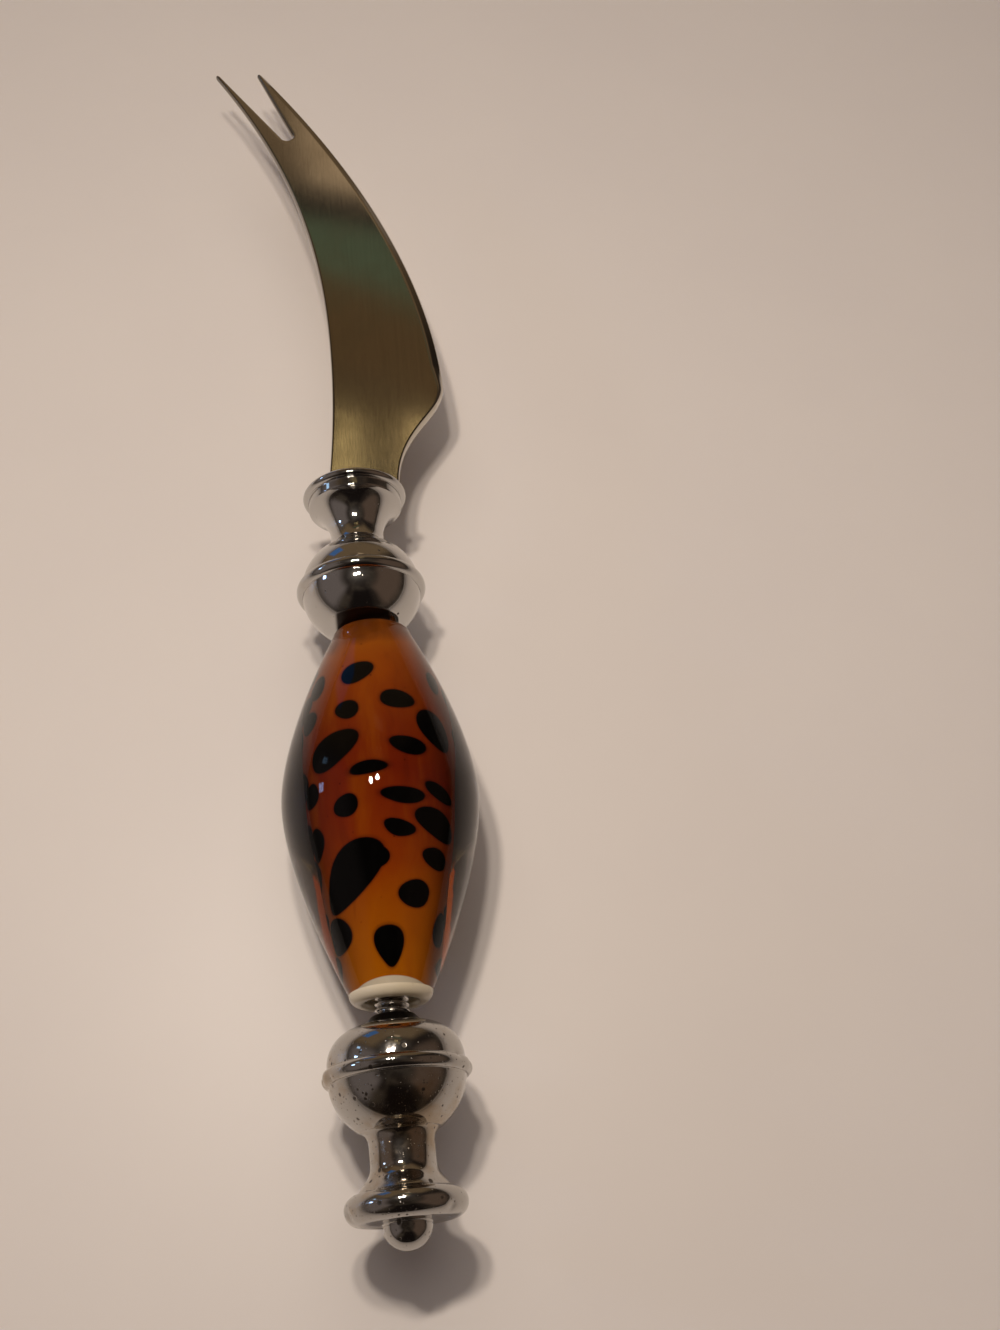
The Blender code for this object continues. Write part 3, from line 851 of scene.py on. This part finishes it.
def spot_depth(turn, y, radius, drops):
    """How deep each point of the layer lies in a black spot, in millimetres, below zero outside them.

    A spot is an ellipse in (turn times radius, y), tilted, wider at its front by a share, and with
    its edge waved by slow sines of the angle round it.
    """
    depth = np.full(np.broadcast(turn, y).shape, outside_all)
    for number, (turn_at, place, half_width, half_length, tilt, wider) in enumerate(drops):
        u, v = turn_from(turn, turn_at) * radius, y - place
        lean = math.radians(tilt)
        across = u * math.cos(lean) - v * math.sin(lean)
        along = u * math.sin(lean) + v * math.cos(lean)
        across = across / (half_width * np.clip(1 + wider * along / half_length, 0.3, 2))
        along = along / half_length
        angle = np.arctan2(across, along)
        edge = 1 + 0.05 * np.sin(2 * angle + 1.7 * number) + 0.04 * np.sin(3 * angle + 2.9 * number)
        inside = (edge - np.hypot(across, along)) * min(half_width, half_length)
        depth = np.maximum(depth, inside)
    return depth


amber_y = np.linspace(amber_rear_end, bead_front, amber_rows)[:, None]
amber_turn = np.linspace(-np.pi, np.pi, amber_columns, endpoint=False)
amber_at = amber_radius(amber_y)
spot_mm = spot_depth(amber_turn, amber_y, amber_at, spots)
speck_mm = spot_depth(amber_turn, amber_y, amber_at, specks)
ripple = 0.04 * np.sin(2 * amber_turn + 0.6 * amber_y) + 0.03 * np.sin(3 * amber_turn - 0.35 * amber_y)
outside = around_rod(amber_at + ripple, amber_turn, amber_y)
inside = around_rod(core_radius, amber_turn, amber_y[[-1, 0]])
amber_grid = np.concatenate((outside, inside, outside[:1]))
buried = np.full((2, amber_columns), outside_all)
white_mm = amber_rear_end + white_reach * np.clip(np.cos(amber_turn), 0, 1) - amber_y

amber_glass, tree, shader, coordinates = new_material("amber_glass")
place_y = add(tree, "ShaderNodeSeparateXYZ", {0: coordinates}).outputs[1]
half_bead = 24 * MM
from_middle = math_of(tree, "DIVIDE", math_of(tree, "SUBTRACT", place_y, float(rod_axis[1])), half_bead)
streaks = use(tree, wound, coordinates, Around=420.0, Along=45.0, Bend=0.003)
clouds = use(tree, wound, coordinates, Around=120.0, Along=70.0, Bend=0.006)
waved = times(tree, math_of(tree, "SUBTRACT", clouds, 0.5), 0.5)
place_waved = math_of(tree, "ADD", from_middle, waved)
along_share = math_of(tree, "ADD", times(tree, place_waved, 0.5), 0.5)
ramp = add(tree, "ShaderNodeValToRGB", {0: along_share})
amber_colours = (
    (0.00, (0.694, 0.2287, 0.0037)),
    (0.17, (0.550, 0.1496, 0.0026)),
    (0.32, (0.404, 0.0704, 0.0037)),
    (0.45, (0.291, 0.0351, 0.0046)),
    (0.55, (0.234, 0.0238, 0.0046)),
    (0.68, (0.291, 0.0388, 0.0037)),
    (0.80, (0.420, 0.0844, 0.0030)),
    (0.92, (0.501, 0.1319, 0.0056)),
    (0.96, (0.258, 0.0704, 0.0056)),
    (1.00, (0.162, 0.0458, 0.0056)),
)
for number, (place, colour) in enumerate(amber_colours):
    stop = ramp.color_ramp.elements[number] if number < 2 else ramp.color_ramp.elements.new(place)
    stop.position = place
    stop.color = (*colour, 1)
golden_streak = (0.479, 0.1205, 0.0051)
dark_streak = (0.112, 0.0129, 0.0034)
speck_brown = (0.045, 0.0080, 0.0034)
halo_brown = (0.075, 0.0096, 0.0034)
spot_black = (0.002, 0.002, 0.002)
bare_white = (1.0, 0.98, 0.80)
streaked = mixed(tree, span(tree, streaks, 0.42, 0.72, 0, 0.5), ramp.outputs[0], golden_streak)
streaked = mixed(tree, span(tree, streaks, 0.42, 0.25, 0, 0.45), streaked, dark_streak)
speck = marked(tree, "speck_depth")
spot = marked(tree, "spot_depth")
specked = mixed(tree, span(tree, speck, -0.03, 0.03, 0, 0.7), streaked, speck_brown)
haloed = mixed(tree, span(tree, spot, -0.3, 0.0, 0, 0.45), specked, halo_brown)
spotted = mixed(tree, span(tree, spot, -0.06, 0.06), haloed, spot_black)
bare = marked(tree, "white_depth")
amber = mixed(tree, span(tree, bare, -0.08, 0.08), spotted, bare_white)
plug(tree, shader, {"Base Color": amber, "Roughness": 0.5, "Specular IOR Level": 0.0})

depths = {"spot_depth": spot_mm, "speck_depth": speck_mm, "white_depth": white_mm}
amber_marks = {key: np.concatenate((depth, buried, depth[:1])) for key, depth in depths.items()}
amber_layer = skin("amber_layer", [askew(amber_grid)], amber_glass, attributes=amber_marks)
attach(amber_layer, "bead")
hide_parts("bead_amber")


# Bead, clear casing
# A thick gather of clear glass over the spotted amber, marvered to the bead's fat two-ended shape,
# fire polished, and fused to the amber with no air between. It is tinted dark here as painted shade,
# because its sides look nearly black in the photo, where they show the shaded table under the bead.
casing_rear_end = cap_edge - 0.02
lip_rounding = 0.4
fused = 0.3
marver_share = 0.006
marver_end = 24
marver_fade = 6
lamp_light_passed = 0.92

casing_lip = bead_front - lip_rounding
outside_y = np.linspace(casing_rear_end, casing_lip, 120)
inside_y = np.linspace(bead_front, casing_rear_end, 60)
lip_middle = (float(outer_radius(casing_lip)) - lip_rounding, casing_lip)
casing_outline = wall(
    np.stack((amber_radius(inside_y) - fused, inside_y), 1),
    np.stack((outer_radius(outside_y), outside_y), 1),
    arc(lip_middle, (lip_rounding, lip_rounding), 0, 90, 8)[1:],
)
casing_rings = turned(casing_outline, 240)
casing_turn = turn_and_radius(casing_rings)[0]
casing_y = casing_rings[..., 1]
two_sided = np.sin(2 * casing_turn + 0.13 * casing_y + 1)
three_sided = np.sin(3 * casing_turn - 0.21 * casing_y)
marvered = 0.5 - 0.25 * two_sided - 0.25 * three_sided
sunk = marver_share * marvered * np.clip((marver_end - np.abs(casing_y)) / marver_fade, 0, 1)
casing_rings = swollen(casing_rings, 1 - sunk)

clear_glass, tree, shader, coordinates = new_material("clear_glass")
smudge = use(tree, cloudy, coordinates, Scale=150.0, Low=0.5, High=0.75)
roughness = span(tree, smudge, 0, 1, 0.0, 0.03)
marks = use(tree, wound, coordinates, Around=160.0, Along=60.0, Bend=0.003)
# Painted shade: the grey-brown tint darkens the sides, which show the shaded table under the bead
plug(tree, shader, {"Base Color": (0.36, 0.30, 0.265, 1), "Specular Tint": (0.4, 0.4, 0.4, 1)})
plug(tree, shader, {"Transmission Weight": 1.0, "IOR": 1.5})
plug(tree, shader, {"Roughness": roughness, "Normal": bumped(tree, marks, 0.00003)})
# Lamps light what the glass covers, as shadow rays leave through its outer face unbent, before any
# diffuse bounce
path = tree.nodes.new("ShaderNodeLightPath").outputs
first = math_of(tree, "LESS_THAN", path["Diffuse Depth"], 0.5)
leaving = tree.nodes.new("ShaderNodeNewGeometry").outputs["Backfacing"]
let_out = times(tree, first, times(tree, leaving, lamp_light_passed))
passing = times(tree, path["Is Shadow Ray"], let_out)
clear = tree.nodes.new("ShaderNodeBsdfTransparent").outputs[0]
blend = add(tree, "ShaderNodeMixShader", {0: passing, 1: shader.outputs[0], 2: clear})
tree.links.new(blend.outputs[0], tree.nodes["Material Output"].inputs["Surface"])

clear_casing = skin("clear_casing", [askew(casing_rings)], clear_glass)
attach(clear_casing, "bead")
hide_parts("bead_casing")


# Finial
# The second plated casting, rougher and more worn than the ferrule: the same nose, ball and ring,
# then a neck, a round-edged flange and a button. It screws onto the rod and keeps the bead on it.
finial_high = box_mm("finial")[1]
finial_socket = 11.5
finial_neck_radius = 3.65
finial_neck_fillet = 1.5
finial_nose = [(2.5, 0), (3.5, nose_length)]
finial_rear_length = 5.7
finial_fullness = 2.9
finial_neck_length = 3.4
flange_flare = 2.9
flange_arriving = 32
flange_pull = 1.3
flange_radius = 6.75
flange_half = 1.6
button_radius = 2.7
button_length = 2.899
button_dome = 2.45
finial_uneven = 0.05
finial_waves = ((2, 0.4, 2.2), (3, 0.7, 0.3), (4, -0.9, 5.1), (7, 1.3, 1.0))

finial_neck = ball_end + finial_neck_length
flange_front = finial_neck + flange_flare
flange_rear = flange_front + 2 * flange_half
crown = flange_radius - flange_half
finial_ball = (finial_rear_length, finial_fullness)
flare_start = (finial_neck_radius, finial_neck)
flare_low = (finial_neck_radius, finial_neck + flange_pull)
flare_side = flange_pull * math.tan(math.radians(flange_arriving))
flare_high = (crown - flare_side, flange_front - flange_pull)
finial_outline = np.concatenate(
    (
        casting_front(finial_socket, finial_nose, *finial_ball, finial_neck_radius, finial_neck_fillet),
        bezier(flare_start, flare_low, flare_high, (crown, flange_front), 18),
        arc((crown, flange_front + flange_half), (flange_half, flange_half), -90, 90, 22)[1:],
        [(button_radius, flange_rear)],
        arc((0, flange_rear + button_length - button_dome), (button_radius, button_dome), 0, 90, 22),
    )
)
finial_outline = softened(finial_outline, casting_corner) * (1, -1) + np.array((0, finial_high[1]))
finial_rings = cast_skin(turned(finial_outline), finial_uneven, finial_waves)


def nicked(grid, nicks):
    """Rings with dents: at each turn in degrees and place the radius falls by a round bell's depth."""
    turn, radius = turn_and_radius(grid)
    fall = np.zeros(radius.shape)
    for turn_at, place, size, depth in nicks:
        way = np.hypot(turn_from(turn, turn_at) * radius, grid[..., 1] - place)
        fall += depth * np.exp(-((way / size) ** 2))
    return swollen(grid, 1 - fall / np.maximum(radius, least_radius))


ring_place = finial_high[1] - ball_centre
flange_place = finial_high[1] - flange_front - flange_half
# Turn from the top in degrees, place along the rod, size and depth
finial_nicks = [
    (-84, ring_place + 0.2, 0.7, 0.4),
    (-62, ring_place - 0.5, 0.5, 0.22),
    (81, ring_place + 0.3, 0.7, 0.4),
    (58, ring_place + 0.7, 0.45, 0.2),
    (170, ring_place, 0.6, 0.3),
    (-70, flange_place - 0.6, 0.6, 0.25),
    (48, flange_place - 1.0, 0.5, 0.2),
    (130, flange_place, 0.6, 0.25),
]
finial_rings = nicked(finial_rings, finial_nicks)

finial_plating = bright_plating(
    "finial_plating",
    (0.46, 0.445, 0.42),
    (0.36, 0.29, 0.21),
    pit_share=0.28, haze=0.16, tarnish_low=0.46,
    nose=finial_high[1],
    nose_shade_half=ball_radius,
)
plated_finial = skin("plated_finial", [finial_rings], finial_plating)
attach(plated_finial, "finial")
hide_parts("finial")


# Floor
# A plain pale table top with a faint sheen, which the bead's belly lies on.
floor_half = 6.0
floor_mesh = bpy.data.meshes.new("floor")
floor_corners = [(x * floor_half, y * floor_half, 0) for x, y in ((-1, -1), (1, -1), (1, 1), (-1, 1))]
floor_mesh.from_pydata(floor_corners, [], [(0, 1, 2, 3)])
floor = placed("floor", floor_mesh)
pale_top, tree, shader, coordinates = new_material("pale_top")
mottle = use(tree, cloudy, coordinates, Scale=28.0, Low=0.3, High=0.7)
pale = mixed(tree, mottle, (0.80, 0.755, 0.715), (0.785, 0.74, 0.705))
plug(tree, shader, {"Base Color": pale, "Roughness": 0.42, "Specular IOR Level": 0.35})
floor_mesh.materials.append(pale_top)


# Light
# Two small warm lamps close above the blade's root, soft light from the whole ceiling that stays
# out of the reflections, and a dim room with a window on the left, which the bright metal mirrors.
def lamp(name, place, size, watts, colour):
    """A round lamp that faces straight down.

    It keeps the strength that it has straight below at every other distance, as a row of lamps
    would, and the glass doesn't gather its light on the floor. It keeps the strength that it has
    straight below at every other distance, as a row of lamps would, and paths that bounce off a
    dull surface and cross glass more than twice get none of it.
    """
    data = bpy.data.lights.new(name, "AREA")
    data.shape = "DISK"
    data.size = size
    data.energy = watts
    data.color = colour
    data.use_nodes = True
    tree = data.node_tree
    path = tree.nodes.new("ShaderNodeLightPath").outputs
    bent = math_of(tree, "GREATER_THAN", path["Transmission Depth"], 2.5)
    later = math_of(tree, "GREATER_THAN", path["Diffuse Depth"], 0.5)
    shown = math_of(tree, "SUBTRACT", 1.0, times(tree, bent, later))
    strength = math_of(tree, "DIVIDE", shown, place[2] ** 2)
    even = add(tree, "ShaderNodeLightFalloff", {"Strength": strength}).outputs["Constant"]
    tree.links.new(even, tree.nodes["Emission"].inputs["Strength"])
    made = placed(name, data)
    made.location = place
    made.visible_camera = False
    made.visible_transmission = False


lamp_height = 0.202
lamp_size = 0.015
warm = (1.0, 0.87, 0.75)
lamp("near_lamp", (-0.029, -0.004, lamp_height), lamp_size, 0.127, warm)
lamp("far_lamp", (-0.006, 0.000, lamp_height), lamp_size, 0.088, warm)
ceiling = bpy.data.lights.new("ceiling_light", "SUN")
ceiling.energy = 0.67
ceiling.angle = math.radians(60)
ceiling.color = (1.0, 0.885, 0.83)
ceiling_light = placed("ceiling_light", ceiling)
ceiling_light.rotation_euler = (math.radians(-28), 0, 0)
ceiling_light.visible_camera = False
ceiling_light.visible_glossy = False
ceiling_light.visible_transmission = False

# What the room shows to the metal: bearing from +Y towards +X, height, half widths, softness and
# colour. Straight ahead the heights rise with the bearing.
room_parts = [
    (-6, 22, 32, 12, 20, (0.170, 0.113, 0.062)),
    (-92, 30, 30, 14, 20, (0.170, 0.138, 0.125)),
    (100, 34, 30, 14, 20, (0.115, 0.076, 0.054)),
    (180, 27, 18, 24, 12, (0.010, 0.007, 0.006)),
    (4, 39.7, 5, 2.9, 0.6, (0.420, 0.298, 0.182)),
    (0, 43.6, 14, 0.6, 0.6, (0.026, 0.021, 0.016)),
    (0, 46.2, 14, 1.4, 0.9, (0.079, 0.103, 0.063)),
    (0, 49.3, 14, 1.8, 0.8, (0.096, 0.057, 0.026)),
    (0, 51.8, 14, 0.8, 0.6, (0.080, 0.052, 0.026)),
    (0, 57.6, 14, 2.4, 1.2, (0.170, 0.125, 0.059)),
    (-0.5, 54.3, 0.8, 1.5, 0.4, (0.720, 0.533, 0.235)),
    (4.9, 53.4, 0.9, 1.6, 0.4, (0.860, 0.627, 0.286)),
    (-26, 10, 6, 6, 2.5, (0.060, 0.150, 0.350)),
    (-56, 20, 1.6, 2.5, 1.0, (0.7, 1.1, 1.6)),
    (-74, 20, 2.2, 2.6, 0.6, (4.5, 7.0, 12.0)),
]
band_rise = 0.24
room_dark = (0.024, 0.017, 0.013)
room_light = (0.058, 0.044, 0.032)
table_below = (0.34, 0.28, 0.23)
backdrop_colour = (0.44, 0.37, 0.31)
world = bpy.data.worlds.new("dim_room")
bpy.context.scene.world = world
world.use_nodes = True
tree = world.node_tree
direction = tree.nodes.new("ShaderNodeTexCoord").outputs["Generated"]
east, north, up = add(tree, "ShaderNodeSeparateXYZ", {0: direction}).outputs
bearing = times(tree, math_of(tree, "ARCTAN2", east, north), 180 / math.pi)
height = times(tree, math_of(tree, "ARCSINE", up), 180 / math.pi)
ahead = span(tree, math_of(tree, "ABSOLUTE", bearing), 20, 12)
rising = times(tree, bearing, times(tree, ahead, band_rise))
band_height = math_of(tree, "SUBTRACT", height, rising)
clutter = add(tree, "ShaderNodeTexNoise", {"Vector": direction, "Scale": 2.6, "Detail": 3.0})
seen = mixed(tree, span(tree, clutter.outputs["Fac"], 0.4, 0.7), room_dark, room_light)
for bearing_at, height_at, half_bearing, half_height, softness, colour in room_parts:
    off = math_of(tree, "WRAP", math_of(tree, "SUBTRACT", bearing, bearing_at), 180, -180)
    aside = math_of(tree, "ABSOLUTE", off)
    above = apart(tree, band_height, height_at)
    in_bearing = span(tree, aside, half_bearing + softness, half_bearing)
    in_height = span(tree, above, half_height + softness, half_height)
    seen = mixed(tree, times(tree, in_bearing, in_height), seen, colour)
seen = mixed(tree, span(tree, height, 3, -1), seen, table_below)
camera_ray = tree.nodes.new("ShaderNodeLightPath").outputs["Is Camera Ray"]
backdrop = mixed(tree, camera_ray, seen, backdrop_colour)
tree.links.new(backdrop, tree.nodes["Background"].inputs["Color"])
bpy.context.scene.view_settings.view_transform = "Standard"


# Camera
# It looks down on the knife from above its finial, with the prongs leaning away to the upper left.
camera_place = (0.0019, -0.1031, 0.17305)
pitch, yaw, roll = (math.radians(angle) for angle in (62.5, 11.8, 6.3))
focal_share = 1.4
forward = Vector((math.sin(yaw) * math.cos(pitch), math.cos(yaw) * math.cos(pitch), -math.sin(pitch)))
level = Vector((math.cos(yaw), -math.sin(yaw), 0))
upright = level.cross(forward)
right = level * math.cos(roll) + upright * math.sin(roll)
top = upright * math.cos(roll) - level * math.sin(roll)
eye = bpy.data.cameras.new("camera")
eye.sensor_fit = "HORIZONTAL"
eye.sensor_width = 36.0
eye.lens = eye.sensor_width * focal_share
eye.clip_start = 0.01
camera = placed("camera", eye)
facing = Matrix((right, top, -forward)).transposed().to_4x4()
camera.matrix_world = Matrix.Translation(camera_place) @ facing
bpy.context.scene.camera = camera
